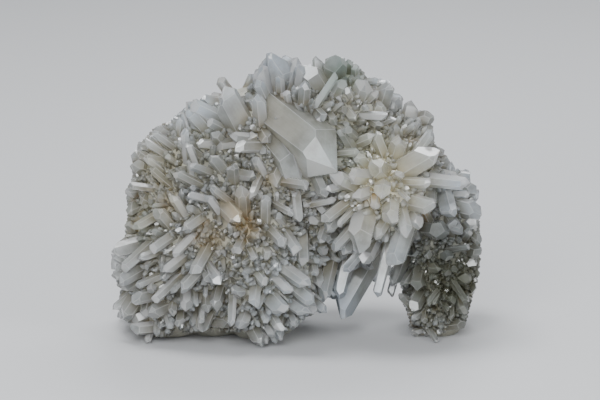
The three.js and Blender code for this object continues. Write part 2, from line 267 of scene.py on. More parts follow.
# Smaller crystals that also stand out from the front
FINE_CRYSTALS = [
    (-19, 104, 0.5, 79.5, 13, 12),
    (-48.5, 38, -38, 25, 13, 6.5),
    (-14, 112, -8, 103, 11, 6),
    (-19, 104, -13, 94, 11, 6.5),
    (-3, 116, 4, 104, 13, 7),
    (7, 113, 13, 103, 12, 6),
    (-22, 96, -14, 88, 9, 5),
    (73, 76, 77, 57.5, 30, 8.5),
    (61, 52, 74, 50, 24, 9.5),
    (82, 70, 86, 58, 12, 6),
    (14, 113, 20, 104, 10, 4.5),
    (18, 118, 25, 108, 8, 5.5),
    (9, 112, 15, 106, 12, 4.5),
    (24, 112, 30, 105, 8, 5),
    (-14, 120, -16, 133, 8, 5.5),
    (-9, 121, -9, 136, 8, 6),
    (-4, 121, -3, 136, 8, 6),
    (1, 119, 3, 133, 8, 5.5),
    (-12, 117, -20, 129, 8, 5.5),
    (-7, 116, -8, 128, 10, 5),
    (31.5, 63, 21.5, 53, 8, 3.5),
    (39.5, 69.5, 39.5, 61, 10, 4.5),
    (51.5, 74.5, 67.5, 74, 11, 5),
    (50, 71.5, 56.5, 65.5, 9, 3),
    (70.5, 86.5, 74, 89, 3, 3),
    (-6, 51.5, -5, 36.5, 8, 4),
    (-4.5, 11.5, 0.5, 3, 5, 4),
    (-18, 14, -14, 4.5, 7, 3.5),
    (-16.5, 6.5, -10.5, -2.5, 5, 4.5),
    (-46, 16.5, -46.5, 4, 7, 3),
    (-48.5, 11.5, -47, 0, 6, 4),
    (-44.5, 25.5, -44.5, 17.5, 8, 2.5),
    (-60, 16.5, -61, 9, 8, 4.5),
    (-58.5, 44, -49, 45.5, 8, 4.5),
    (-18.5, 68, -18, 68, 9, 4.5),
    (-46.5, 70.5, -51, 71.5, 9, 3.5),
    (-26, 50.5, -30.5, 47.5, 7, 3),
    (-23.5, 49, -16.5, 51, 7, 3),
    (-21, 37, -26, 34, 7, 2.5),
    (-25, 52, -28.5, 57, 9, 4.5),
    (-41.5, 34.5, -37.5, 40.5, 8, 3.5),
    (-4.5, 52, -9, 58.5, 9, 4.5),
    (4, 70, -1.5, 67.5, 7, 2.5),
    (10.5, 66, 4, 62.5, 6, 3.5),
    (-9.5, 58, -9, 69.5, 7, 2.5),
    (-61, 86, -75, 95, 3, 4),
    (-57.5, 89.5, -71, 99.5, 3, 4),
    (-2.5, 110.5, -4.5, 120, 6, 4),
    (-4.5, 119.5, -4.5, 125.5, 5, 4),
    (31.5, 111.5, 25, 121.5, 5, 4),
    (35, 107, 43, 102, 7, 4.5),
    (23.5, 111.5, 21.5, 117, 5, 2.5),
    (35, 111, 35, 111.5, 9, 4),
    (75, 25.5, 66, 13.5, 5, 3.5),
    (74, 23, 69, 13, 5, 3),
    (72.5, 16.5, 77, 10, 6, 3.5),
    (64.5, 39.5, 72, 39.5, 6, 4.5),
]

# Larger crystals on the sides and the back, spread over each lump. The limits are on how far the rock's
# surface there faces the viewer.
AROUND_PER_LUMP = 24
AROUND_REACH = 90
AROUND_WIDTH = (7, 12)
AROUND_LENGTH = (8, 17)
AROUND_LENGTH_AT_EDGE = (4, 8)
AROUND_LEAN = 0.35
AROUND_FRONT_LIMIT = -0.1
AROUND_EDGE_LIMIT = -0.4
AROUND_LOWEST = 9
AROUND_CLEARANCE = 1.14

# The outline of the specimen as the front is seen, which the finer crystals stay inside
OUTLINE = np.array([
    (-94, 38), (-86, 46), (-85, 52), (-84, 61), (-86, 69), (-82, 76), (-82, 86), (-79, 94), (-71, 101),
    (-62, 106), (-55, 113), (-47, 118), (-38, 118), (-34, 121), (-28, 117), (-23, 121), (-21.5, 128),
    (-19, 136), (-6.5, 140.5), (0, 138.5), (10, 138), (27.5, 137), (34, 131), (37, 126), (47, 126.5),
    (53.5, 117.5), (59, 116.5), (70.5, 109), (71, 102), (68, 96.5), (75, 88.5), (84, 83), (88.5, 79.5),
    (93.5, 70), (89, 65.5), (93.5, 59.5), (94.5, 50.5), (93.5, 35.5), (92, 25.5), (90.5, 20.5), (88, 10.5),
    (86, 3), (77, 1), (71, -4), (58, -2), (57, 6), (52, 19), (54, 26), (47, 24), (41, 22), (34, 27),
    (28, 26), (23, 14), (17, 16), (14, 10), (7, 8), (2, 3), (-6, -2), (-9, -6.5), (-18, -7), (-26, -1),
    (-45, 0), (-60, -2), (-70, -4), (-82, 0), (-91, 6), (-92.5, 11), (-87, 20), (-93, 27),
])

# Finer crystals all over, as layers: the gap between roots, the ranges of thickness and length, how steeply
# they stand, how much they lean away from the fan centres and how much at random, how far above the lumps
# they root, how many roots are tried, and whether each is built one by one
FINE_LAYERS = [
    dict(name="prisms_coarse", spacing=8.8, width=(4.0, 7.2), length=(17.0, 27.0), stand=(0.3, 0.8), fan=0.8,
         lean=0.7, swell=0.8, tries=16000, seed=31, one_by_one=True),
    dict(name="prisms_medium", spacing=3.3, width=(2.4, 4.2), length=(6.5, 12.5), stand=(0.25, 1.0), fan=0.6,
         lean=0.8, swell=0.5, tries=40000, seed=32, one_by_one=False),
    dict(name="prisms_fine", spacing=2.1, width=(1.4, 2.5), length=(3.5, 7.0), stand=(0.4, 1.5), fan=0.3,
         lean=0.9, swell=1.4, tries=90000, seed=33, one_by_one=False),
]
LOWEST_ROOT = 2.5

# A root counts as outside another lump from this scaled distance on
OUTSIDE_LUMP = 0.995

# The share of a large crystal's length, from its base, that finer ones may cover
COVERED = 0.45
MAIN_COVERED = 0.1
PRISM_COVERED = 0.35

# A finer crystal is tested against the large ones at these shares of its length, with a margin of this share
# of its thickness, and also this far behind itself, where a large one shows if it is that high above the rock
TESTED_SHARES = (0.5, 0.75, 1.0)
MARGIN_SHARE = 0.2
SIGHT_STEPS = (3, 6, 9, 12)
SEEN_ABOVE_ROCK = 1.5
REACH_OF_FINE = 14

# A long prism belongs to the display side unless its tip lies this far behind its base
TURNED_AWAY = 4

# Shapes that the medium and fine layers copy, 1 thick
SHAPE_COUNT = 28
SHAPE_LENGTH = 4.0
SHAPE_DETAILED_SHARE = 0.45
SHAPE_UNEVEN = 0.75
SHAPE_BASE_HEIGHT = 1e-4

# An axis that rises more than this is nearly upright
UPRIGHT = 0.9

# The rock is the lumps, each this much larger, joined at this voxel size and roughened by low waves
ROCK_SWELL = 1.2
LUMP_SUBDIVISIONS = 4
ROCK_VOXEL = 2.2
BUMP_WAVES = 60
BUMP_WAVE_NUMBER = 260
BUMP_HEIGHT = 0.6

# The box that fine tips stay in, and the shares of their length that are tried in turn
TIP_BOX = np.array([[-94.0, -58.5, LOWEST_TIP], [93.5, 55.0, 146.0]])
TRIED_LENGTHS = (1.0, 1.0, 0.9, 0.75, 0.6, 0.45)

# Where the fine crystals of the display side differ:
# (right, up, radius, thickness factor, length factor, share kept)
FRONT_FACING = -0.1
SIZE_FADE = 1.4
SIZE_ZONES = [
    (-62, 85, 22, 0.85, 0.8, 1.0),
    (-35, 66, 18, 0.9, 0.95, 1.0),
    (30, 106, 16, 0.85, 0.8, 1.0),
    (-2, 26, 22, 1.05, 1.35, 0.4),
    (-55, 14, 28, 1.0, 1.2, 0.5),
    (24, 40, 14, 0.8, 0.6, 0.7),
    (46, 76, 17, 0.9, 0.8, 0.35),
    (72, 30, 24, 0.75, 0.7, 1.0),
]

# Fine crystals lie down along the surface, away from the nearest of these: (right, up, near, reach)
FAN_CENTRES = np.array([
    (-33, 52, 20, 1.0),
    (4, 92, 15, 0.9),
    (46, 76, 30, 0.6),
    (72, 40, 10, 0.55),
])

# Colour factors by place in the front view, through the whole depth: real tints and stains, and painted light
# and painted shade where a factor brightens or darkens a place as lamps would
# Cream tint with painted light: a factor above 1 brightens the rosette as if it were lit more
CREAM_TINT_AND_PAINTED_LIGHT = (1.58, 1.55, 1.43)
# Painted light that brightens a place
PAINTED_LIGHT = (1.18, 1.22, 1.28)
# Painted light, whiter and bluer
PAINTED_LIGHT_WHITE = (1.24, 1.29, 1.37)
# Icy blue tint with painted light
ICY_TINT_AND_PAINTED_LIGHT = (1.12, 1.18, 1.29)
MILK = (0.97, 1.0, 1.05)
IRON = (1.14, 0.94, 0.64)
# Olive tint with painted shade, darkening the right leg
OLIVE_TINT_AND_PAINTED_SHADE = (0.44, 0.45, 0.38)
MOSS = (0.80, 0.80, 0.70)
CHLORITE = (0.55, 0.66, 0.60)
# Smoke tint with painted shade
SMOKE_TINT_AND_PAINTED_SHADE = (0.60, 0.63, 0.68)
STRAW = (1.03, 0.99, 0.86)
COLOUR_FADE = 1.3

# (right, up, radius, colour, strength)
TINT_AND_PAINTED_SHADING_ZONES = [
    (45, 73, 24, CREAM_TINT_AND_PAINTED_LIGHT, 1.0),
    (54, 42, 12, PAINTED_LIGHT_WHITE, 1.0),
    (20, 84, 12, ICY_TINT_AND_PAINTED_LIGHT, 1.0),
    (2, 98, 20, MILK, 1.0),
    (-11, 131, 18, ICY_TINT_AND_PAINTED_LIGHT, 1.0),
    (45, 120, 14, PAINTED_LIGHT, 0.7),
    (82, 70, 14, ICY_TINT_AND_PAINTED_LIGHT, 1.0),
    (0, 18, 28, PAINTED_LIGHT, 1.0),
    (-50, 110, 14, ICY_TINT_AND_PAINTED_LIGHT, 1.0),
    (-67, 81, 13, STRAW, 0.9),
    (-50, 75, 13, SMOKE_TINT_AND_PAINTED_SHADE, 0.4),
    (-28, 62, 10, IRON, 0.35),
    (-63, 64, 6, IRON, 0.6),
    (-27, 58, 6, IRON, 0.6),
    (-42, 47, 8, IRON, 0.6),
    (-22, 51, 6, IRON, 0.8),
    (-14, 75, 5, IRON, 0.6),
    (-18, 97, 5, IRON, 0.5),
    (-7, 114, 5, IRON, 0.6),
    (28, 92, 20, MOSS, 0.7),
    (-78, 55, 14, MOSS, 0.8),
    (-40, 90, 16, MOSS, 0.3),
    (24, 130, 10, CHLORITE, 0.8),
    (77, 25, 25, OLIVE_TINT_AND_PAINTED_SHADE, 1.0),
    (80, 18, 16, OLIVE_TINT_AND_PAINTED_SHADE, 0.4),
    (31, 20, 15, SMOKE_TINT_AND_PAINTED_SHADE, 1.0),
    (77, 42, 14, SMOKE_TINT_AND_PAINTED_SHADE, 0.7),
    (-40, 20, 10, SMOKE_TINT_AND_PAINTED_SHADE, 0.3),
]

# Quartz: colours by value, and how fine each pattern is
NONE = (0.0, 0.0, 0.0)
FULL = (1.0, 1.0, 1.0)
BODY_COLOURS = ((0.0, (0.68, 0.65, 0.58)), (0.5, (0.75, 0.74, 0.70)), (1.0, (0.81, 0.81, 0.80)))
TIP_SHARE = ((0.5, NONE), (1.0, FULL))
TIP_COLOUR = (0.86, 0.89, 0.92)
VEIL_SCALE = 110.0
VEIL_COLOURS = ((0.36, (0.74, 0.73, 0.70)), (0.5, (0.92, 0.92, 0.90)), (0.62, FULL))
STREAK_SCALE = (900, 900, 70)
STREAK_COLOURS = ((0.40, (0.94, 0.94, 0.93)), (0.6, FULL))
# Painted shade on whole faces: each face's random value darkens it along this ramp
FACET_SHADES = ((0.0, (0.84, 0.85, 0.86)), (1.0, FULL))
RUST_SCALE = 55.0
RUST_COLOURS = ((0.60, (0.84, 0.79, 0.67)), (0.68, (0.88, 0.60, 0.30)))
# How strongly the rims' painted highlight shows
RIM_HIGHLIGHT_STRENGTH = 0.95
GROWTH_LINE_SCALE = (60, 60, 2600)
SHEEN_SCALE = 420.0
QUARTZ_ROUGHEST = 0.16
NOISE_ROUGHNESS = 0.55

# Stains fade between these heights above the rock
STAIN_FROM = 1.0
STAIN_TO = 9.0
CLEAN_SHARE = ((0.0, NONE), (0.75, FULL))

# Rock
ROCK_PATCH_SCALE = 90.0
ROCK_GRAIN_SCALE = 700.0
ROCK_COLOURS = ((0.3, (0.22, 0.21, 0.17)), (0.5, (0.30, 0.29, 0.24)), (0.66, (0.38, 0.37, 0.32)),
                (0.76, (0.42, 0.31, 0.16)))

# Studio, in metres and watts: soft lights as (name, place, size, power, colour)
LIGHTS = [
    ("key", (-0.20, -1.1, 0.60), (0.6, 0.6), 16.8, (0.95, 0.98, 1.0)),
    ("top", (-0.3, 0.1, 1.2), (0.5, 0.5), 12.5, (0.96, 0.98, 1.0)),
    ("fill", (0.9, -0.9, 0.5), (0.5, 0.5), 7, (0.96, 0.98, 1.0)),
    ("back", (0.25, 0.9, 0.9), (0.8, 0.4), 9, (0.94, 0.97, 1.0)),
]
LIGHTS_AIM = (0, 0, 0.07)
WORLD_COLOUR = (0.96, 0.985, 1.0, 1)
WORLD_STRENGTH = 0.45
FLOOR_HALF = 6.0
FLOOR_COLOUR = (0.50, 0.50, 0.51, 1)
CLIP_END = 30

# The photograph's frame: 0.5 mm for each pixel, with the specimen's front at this distance
FRAME_WIDTH = 300.0
FRAME_CENTRE = (2.5, 65.5)
FRAME_DEPTH = 30.0
CAMERA_DISTANCE = 3000.0
SENSOR = 36.0

# Where the large crystals stand, with the planes of their faces
LARGE_PLACES = []


def make_random(seed):
    """A repeatable series of numbers from 0 to 1."""
    state = seed

    def draw():
        nonlocal state
        state = (state * RANDOM_FACTOR) % RANDOM_PRIME
        return state / RANDOM_PRIME
    return draw


draw_tint = make_random(TINT_SEED)
draw_facet = make_random(FACET_SEED)
draw_uneven = make_random(UNEVEN_SEED)


def from_front(right, up, near):
    """The point at a place of the front view that lies this far toward the viewer."""
    return right * RIGHT + up * UP + near * NEAR


def rock_depth(right, up):
    """How near the rock's surface lies on the sight line through a point of the front view."""
    start = from_front(right, up, 0)
    hits = []
    misses = []
    for centre, radii in ROCK_LUMPS:
        offset = (start - centre) / radii
        along = NEAR / radii
        a = along @ along
        b = offset @ along
        room = b * b - a * (offset @ offset - 1)
        if room >= 0:
            hits.append((-b + math.sqrt(room)) / a)
        else:
            misses.append((-room / a, -b / a))
    return max(hits) if hits else min(misses)[1]


def rock_height(points):
    """About how far each point lies above the rock, in millimetres."""
    heights = []
    for centre, radii in ROCK_LUMPS:
        scaled = (points - centre) / radii
        distance = np.linalg.norm(scaled, axis=1)
        slope = np.linalg.norm(scaled / radii, axis=1) / np.maximum(distance, TINY)
        heights.append((distance - 1) / np.maximum(slope, TINY))
    return np.min(heights, axis=0)


# Flat-faced solids

def meeting_points(normals, distances):
    """The corners of the solid that half spaces enclose."""
    triples = np.array(list(itertools.combinations(range(len(normals)), 3)))
    n = normals[triples]
    d = distances[triples]
    volume = np.einsum("ij,ij->i", n[:, 0], np.cross(n[:, 1], n[:, 2]))
    real = np.abs(volume) > TINY
    n, d, volume = n[real], d[real], volume[real]
    points = (d[:, 0, None] * np.cross(n[:, 1], n[:, 2])
              + d[:, 1, None] * np.cross(n[:, 2], n[:, 0])
              + d[:, 2, None] * np.cross(n[:, 0], n[:, 1])) / volume[:, None]
    points = points[np.all(points @ normals.T < distances + TINY, axis=1)]
    corners = []
    for point in points:
        if all(np.linalg.norm(point - other) > SAME_PLACE for other in corners):
            corners.append(point)
    return np.array(corners)


def solid_faces(corners, normals, distances):
    """Each face's corners, in order round its normal."""
    faces = []
    for normal, distance in zip(normals, distances):
        on_face = np.flatnonzero(np.abs(corners @ normal - distance) < SAME_PLACE)
        if len(on_face) < 3:
            continue
        middle = corners[on_face].mean(axis=0)
        side = corners[on_face[0]] - middle
        side /= np.linalg.norm(side)
        across = np.cross(normal, side)
        spokes = corners[on_face] - middle
        order = np.argsort(np.arctan2(spokes @ across, spokes @ side))
        faces.append(on_face[order])
    return faces


def crystal_planes(length, width, draw, detailed, unevenness, chisel=None, thin_side=None):
    """The half spaces of a crystal along +Z from its root, whose tip can be cut like a chisel."""
    normals = [(0, 0, -1)]
    distances = [0.0]
    turn = draw() * math.pi
    flatness = FLATTEST * unevenness()
    flat_side = unevenness() * math.pi if thin_side is None else thin_side
    for side in range(SIDES):
        angle = turn + side * 2 * math.pi / SIDES
        outward = np.array([math.cos(angle), math.sin(angle)])
        reach = width / 2 * (1 + UNEVEN_SIDES * (draw() - UNEVEN_SIDES_MIDDLE))
        reach *= 1 - flatness * math.cos(angle - flat_side) ** 2
        side_normal = np.array([*(outward * math.cos(TAPER)), math.sin(TAPER)])
        normals.append(side_normal)
        distances.append(side_normal @ np.array([*(outward * reach), length / 2]))
        shift = width * SMALL_TIP_FACE_SHIFT * (0.5 + draw()) if detailed and side % 2 else 0.0
        if chisel is None:
            shift += width * (TIP_UNEVEN * unevenness() ** TIP_UNEVEN_POWER - TIP_SET_BACK)
        else:
            shift = width * (CHISEL_SHIFT - CHISEL_CUT * max(0, outward @ chisel) ** 2)
        normals.append((*(outward * math.sin(TIP_FACE_ANGLE)), math.cos(TIP_FACE_ANGLE)))
        distances.append(math.cos(TIP_FACE_ANGLE) * (length + shift))
    return np.array(normals, dtype=float), np.array(distances)


def turned_to(axis):
    """The rotation that brings +Z to an axis by the shortest way."""
    return np.array(Vector((0, 0, 1)).rotation_difference(Vector(axis)).to_matrix())


class MeshParts:
    """Vertices, faces and vertex data gathered from many solids."""

    def __init__(self):
        self.points = []
        self.local = []
        self.along = []
        self.tint = []
        self.rim = []
        self.facet = []
        self.sizes = []
        self.loops = []
        self.count = 0

    def add(self, points, local, along, tint, rim, faces, facet):
        """One solid, whose faces are lists of corners."""
        self.points.append(points)
        self.local.append(local)
        self.along.append(along)
        self.tint.append(np.full(len(points), tint))
        self.rim.append(rim)
        self.facet.append(np.asarray(facet))
        for face in faces:
            self.sizes.append(len(face))
            self.loops.append(np.asarray(face) + self.count)
        self.count += len(points)

    def add_many(self, points, local, along, tint, loops, sizes, facet):
        """Copies of one solid: points are (copies, corners, 3)."""
        copies, corners = points.shape[:2]
        self.points.append(points.reshape(-1, 3))
        self.local.append(local.reshape(-1, 3))
        self.along.append(along.reshape(-1))
        self.tint.append(np.repeat(tint, corners))
        self.rim.append(np.zeros(copies * corners))
        self.facet.append(facet)
        starts = self.count + np.arange(copies) * corners
        self.loops.append((starts[:, None] + loops[None, :]).reshape(-1))
        self.sizes.extend(list(sizes) * copies)
        self.count += copies * corners


def zone_tints_and_painted_shading(points):
    """Tint with painted light and shade for each point by its place in the front view; zones fade at their
    edges.
    """
    right = points @ RIGHT
    up = points @ UP
    colours = np.ones((len(points), 4))
    for zone_right, zone_up, radius, colour, strength in TINT_AND_PAINTED_SHADING_ZONES:
        reach = np.hypot(right - zone_right, up - zone_up) / radius
        share = strength * np.clip(COLOUR_FADE - reach, 0, 1)[:, None]
        colours[:, :3] *= 1 - share + share * np.array(colour)
    return colours


def make_object(name, parts, material):
    """One mesh of gathered solids, with the data that the material reads."""
    points = np.concatenate(parts.points)
    loops = np.concatenate(parts.loops).astype(np.int32)
    sizes = np.array(parts.sizes, dtype=np.int32)
    mesh = bpy.data.meshes.new(name)
    mesh.vertices.add(len(points))
    mesh.vertices.foreach_set("co", ((points - FOOTPRINT_MIDDLE) * MM).ravel())
    mesh.loops.add(len(loops))
    mesh.loops.foreach_set("vertex_index", loops)
    mesh.polygons.add(len(sizes))
    mesh.polygons.foreach_set("loop_start", np.concatenate([[0], np.cumsum(sizes)[:-1]]).astype(np.int32))
    mesh.update()
    mesh.validate()
    mesh.shade_flat()
    for attribute_name, kind, field, values in (
        ("crystal_place", "FLOAT_VECTOR", "vector", np.concatenate(parts.local) * MM),
        ("along", "FLOAT", "value", np.concatenate(parts.along)),
        ("tint", "FLOAT", "value", np.concatenate(parts.tint)),
        # Where the rims' painted highlight goes
        ("rim", "FLOAT", "value", np.concatenate(parts.rim)),
        ("rock_height", "FLOAT", "value", rock_height(points)),
        # Tints with painted light and painted shade by place
        ("zone", "FLOAT_COLOR", "color", zone_tints_and_painted_shading(points)),
    ):
        layer = mesh.attributes.new(attribute_name, kind, "POINT")
        layer.data.foreach_set(field, values.astype(np.float32).ravel())
    # Each face's random value for its painted shade
    layer = mesh.attributes.new("facet", "FLOAT", "FACE")
    layer.data.foreach_set("value", np.concatenate(parts.facet).astype(np.float32))
    mesh.materials.append(material)
    made = bpy.data.objects.new(name, mesh)
    bpy.context.scene.collection.objects.link(made)
    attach(made, "root")
    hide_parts("quartz_cluster")
    return made


# Large crystals, which are built one by one and have a fine rim along each edge, where a highlight is painted

def with_rims(corners, faces, normals_of):
    """Each face gets an inner outline a rim's width from its edges, so the rim can carry a painted highlight.
    """
    points = list(corners)
    rim = [1.0] * len(corners)
    new_faces = []
    facet = []
    for face, normal in zip(faces, normals_of):
        # A random value for the whole face, which the material turns into painted shade
        bright = draw_facet()
        outline = corners[face]
        count = len(face)
        edges = np.roll(outline, -1, axis=0) - outline
        lengths = np.linalg.norm(edges, axis=1)
        if lengths.min() < SHORTEST_EDGE:
            new_faces.append(list(face))
            facet.append(bright)
            continue
        inward = np.cross(normal, edges / lengths[:, None])
        inner = []
        for i in range(count):
            before = inward[i - 1]
            after = inward[i]
            inner.append(outline[i] + (before + after) * RIM_WIDTH / max(SHARPEST_CORNER, 1 + before @ after))
        inner = np.array(inner)
        inner_edges = np.roll(inner, -1, axis=0) - inner
        if np.any(np.einsum("ij,ij->i", inner_edges, edges) <= 0):
            new_faces.append(list(face))
            facet.append(bright)
            continue
        start = len(points)
        points.extend(inner)
        rim.extend([0.0] * count)
        inner_ids = list(range(start, start + count))
        new_faces.append(inner_ids)
        facet.extend([bright] * (count + 1))
        for i in range(count):
            j = (i + 1) % count
            new_faces.append([face[i], face[j], inner_ids[j], inner_ids[i]])
    return np.array(points), np.array(rim), new_faces, facet


def add_large_crystal(parts, base, tip, width, draw, in_front, covered=COVERED):
    """A crystal from its base to its tip, whose place is kept for the finer ones."""
    axis = tip - base
    length = np.linalg.norm(axis)
    turn = turned_to(axis / length)
    is_main = width == MAIN_WIDTH
    chisel = (MAIN_CHISEL @ turn)[:2] if is_main else None
    toward_viewer = NEAR @ turn
    thin_side = math.atan2(toward_viewer[1], toward_viewer[0]) if in_front else None
    detailed = width >= DETAILED_WIDTH
    normals, distances = crystal_planes(length, width, draw, detailed, draw_uneven, chisel, thin_side)
    corners = meeting_points(normals, distances)
    over = (corners @ turn.T + base)[:, 2].max() - HIGHEST
    if over > 0:
        distances[2::2] -= math.cos(TIP_FACE_ANGLE) * over / max(axis[2] / length, FLATTEST_TRIM)
        corners = meeting_points(normals, distances)
    LARGE_PLACES.append(dict(base=base, turn=turn, length=length, width=width, displayed=in_front,
                             covered=MAIN_COVERED if is_main else covered,
                             normals=normals, distances=distances))
    faces = []
    face_normals = []
    for normal, distance in zip(normals, distances):
        found = solid_faces(corners, normal[None], np.array([distance]))
        if found:
            faces.append(found[0])
            face_normals.append(normal)
    local, rim, rimmed, facet = with_rims(corners, faces, face_normals)
    points = local @ turn.T + base
    points[:, 2] = np.maximum(points[:, 2], 0)
    along = local[:, 2] / length
    tint = draw_tint()
    shifted = local - np.array([0, 0, length]) + tint * TEXTURE_SHIFT
    parts.add(points, shifted, along, tint, rim, rimmed, facet)


def sink_of(width):
    """How deep the middle of a large crystal's base lies in the rock."""
    return LARGE_SINK + LARGE_SINK_SHARE * width


def add_front_crystals(parts, rows):
    draw = make_random(FRONT_SEED)
    for right, up, tip_right, tip_up, stand_out, width in rows:
        depth = rock_depth(right, up)
        base = from_front(right, up, depth - sink_of(width))
        tip = from_front(tip_right, tip_up, depth + stand_out)
        tip[2] = max(tip[2], LOWEST_TIP)
        add_large_crystal(parts, base, tip, width, draw, True)


def inside_other_lump(point, own, clearance):
    return any(
        index != own and np.linalg.norm((point - centre) / radii) < clearance
        for index, (centre, radii) in enumerate(ROCK_LUMPS)
    )


def add_crystals_around(parts):
    draw = make_random(AROUND_SEED)
    golden_angle = math.pi * (3 - math.sqrt(5))

    def between(low_high):
        return low_high[0] + (low_high[1] - low_high[0]) * draw()

    for lump, (centre, radii) in enumerate(ROCK_LUMPS):
        for i in range(AROUND_PER_LUMP):
            height = 1 - 2 * (i + 0.5) / AROUND_PER_LUMP
            ring = math.sqrt(1 - height * height)
            unit = np.array([math.cos(i * golden_angle) * ring, math.sin(i * golden_angle) * ring, height])
            root = unit * radii + centre
            normal = unit / radii
            normal /= np.linalg.norm(normal)
            if normal @ NEAR > AROUND_FRONT_LIMIT or inside_other_lump(root, lump, AROUND_CLEARANCE):
                continue
            if root[2] < AROUND_LOWEST or abs(root[0]) > AROUND_REACH:
                continue
            at_edge = normal @ NEAR > AROUND_EDGE_LIMIT
            width = between(AROUND_WIDTH)
            base = root - normal * sink_of(width)
            lean = np.array([draw() - 0.5, draw() - 0.5, draw() - 0.5])
            axis = normal + lean * 2 * AROUND_LEAN
            axis /= np.linalg.norm(axis)
            tip = root + axis * between(AROUND_LENGTH_AT_EDGE if at_edge else AROUND_LENGTH)
            tip[0] = min(max(tip[0], -AROUND_REACH), AROUND_REACH)
            tip[2] = max(tip[2], LOWEST_TIP)
            add_large_crystal(parts, base, tip, width, draw, False)


# Finer crystals: the long ones are built one by one, and the others are stretched copies of a few shapes

def crystal_shapes():
    """Crystals 1 thick: corners, faces and, for each base corner, the shoulder corner above it."""
    draw = make_random(SHAPE_SEED)
    shapes = []
    for _ in range(SHAPE_COUNT):
        normals, distances = crystal_planes(SHAPE_LENGTH, 1.0, draw, draw() < SHAPE_DETAILED_SHARE,
                                            lambda: SHAPE_UNEVEN * draw())
        corners = meeting_points(normals, distances)
        faces = solid_faces(corners, normals, distances)
        base = np.flatnonzero(corners[:, 2] < SHAPE_BASE_HEIGHT)
        shoulder = {}
        for face in faces:
            ring = list(face)
            for here, there in zip(ring, ring[1:] + ring[:1]):
                if (here in base) != (there in base):
                    low, high = (here, there) if here in base else (there, here)
                    shoulder[low] = high
        low = np.array(sorted(shoulder))
        high = np.array([shoulder[i] for i in low])
        loops = np.concatenate([np.asarray(face) for face in faces])
        sizes = [len(face) for face in faces]
        shapes.append((corners - np.array([0, 0, SHAPE_LENGTH]), low, high, loops, sizes))
    return shapes


def inside_outline(points):
    """Whether each point lies inside the front outline."""
    right = points @ RIGHT
    up = points @ UP
    inside = np.zeros(len(points), dtype=bool)
    for (x0, y0), (x1, y1) in zip(OUTLINE, np.roll(OUTLINE, -1, axis=0)):
        crosses = (y0 > up) != (y1 > up)
        if y0 != y1:
            at = x0 + (up - y0) * (x1 - x0) / (y1 - y0)
            inside ^= crosses & (right < at)
    return inside


def zone_factors(points, normals):
    """Each root's thickness factor, length factor and chance to be kept."""
    right = points @ RIGHT
    up = points @ UP
    factors = np.ones((len(points), 3))
    front = normals @ NEAR > FRONT_FACING
    for zone_right, zone_up, radius, *values in SIZE_ZONES:
        share = np.clip(SIZE_FADE - np.hypot(right - zone_right, up - zone_up) / radius, 0, 1) * front
        factors *= 1 - share[:, None] + share[:, None] * np.array(values)
    return factors


def thinned(points, gaps, cell):
    """The points that are left when each keeps its gap from those before it."""
    cells = {}
    kept = []
    for i, (point, gap) in enumerate(zip(points, gaps)):
        key = tuple((point // cell).astype(int))
        around = itertools.product(*[(k - 1, k, k + 1) for k in key])
        others = [other for near_key in around for other in cells.get(near_key, ())]
        if all(np.sum((points[other] - point) ** 2) >= gap ** 2 for other in others):
            cells.setdefault(key, []).append(i)
            kept.append(i)
    return kept


def scatter(layer, random):
    """Roots spread over the rock with their normals and size factors."""
    tries = layer["tries"]
    areas = np.array([np.mean([r[0] * r[1], r[1] * r[2], r[0] * r[2]]) for _, r in ROCK_LUMPS])
    lumps = random.choice(len(ROCK_LUMPS), tries, p=areas / areas.sum())
    units = random.normal(size=(tries, 3))
    units /= np.linalg.norm(units, axis=1)[:, None]
    centres = ROCK_LUMPS[lumps, 0]
    radii = ROCK_LUMPS[lumps, 1] + layer["swell"]
    points = units * radii + centres
    normals = units / radii
    normals /= np.linalg.norm(normals, axis=1)[:, None]
    outer = np.ones(tries, dtype=bool)
    for index, (centre, size) in enumerate(ROCK_LUMPS):
        size = size + layer["swell"]
        outer &= (lumps == index) | (np.linalg.norm((points - centre) / size, axis=1) > OUTSIDE_LUMP)
    outer &= points[:, 2] > LOWEST_ROOT
    points, normals = points[outer], normals[outer]
    factors = zone_factors(points, normals)
    chosen = random.random(len(points)) < factors[:, 2]
    points, normals, factors = points[chosen], normals[chosen], factors[chosen]
    gaps = layer["spacing"] * np.minimum(1, factors[:, 0])
    kept = thinned(points, gaps, layer["spacing"])
    return points[kept], normals[kept], factors[kept]


def clear_of_large(roots, tips, widths):
    """Whether each fine crystal stays out of the large ones and doesn't hide their front."""
    clear = np.ones(len(roots), dtype=bool)
    for large in LARGE_PLACES:
        middle = large["base"] + large["turn"] @ np.array([0, 0, large["length"] / 2])
        reach = large["length"] / 2 + large["width"] + REACH_OF_FINE
        close = np.flatnonzero(np.linalg.norm(tips - middle, axis=1) < reach)
        if not len(close):
            continue
        for share in TESTED_SHARES:
            points = roots[close] + (tips[close] - roots[close]) * share
            margins = MARGIN_SHARE * widths[close, None]
            for step_back in (0, *SIGHT_STEPS) if large["displayed"] else (0,):
                local = (points - NEAR * step_back - large["base"]) @ large["turn"]
                inside = np.all(local @ large["normals"].T < large["distances"] + margins, axis=1)
                if step_back:
                    inside &= local[:, 2] > large["covered"] * large["length"]
                    inside[inside] = rock_height(points[inside] - NEAR * step_back) > SEEN_ABOVE_ROCK
                clear[close[inside]] = False
    return clear


def fan_directions(roots, normals):
    """The way along the surface that leads away from the nearest fan centre."""
    centres = FAN_CENTRES[:, :1] * RIGHT + FAN_CENTRES[:, 1:2] * UP + FAN_CENTRES[:, 2:3] * NEAR
    offsets = roots[:, None] - centres[None]
    nearest = np.argmin(np.linalg.norm(offsets, axis=2) / FAN_CENTRES[:, 3], axis=1)
    away = offsets[np.arange(len(roots)), nearest]
    away -= normals * np.einsum("ij,ij->i", away, normals)[:, None]
    return away / np.maximum(np.linalg.norm(away, axis=1), TINY)[:, None]


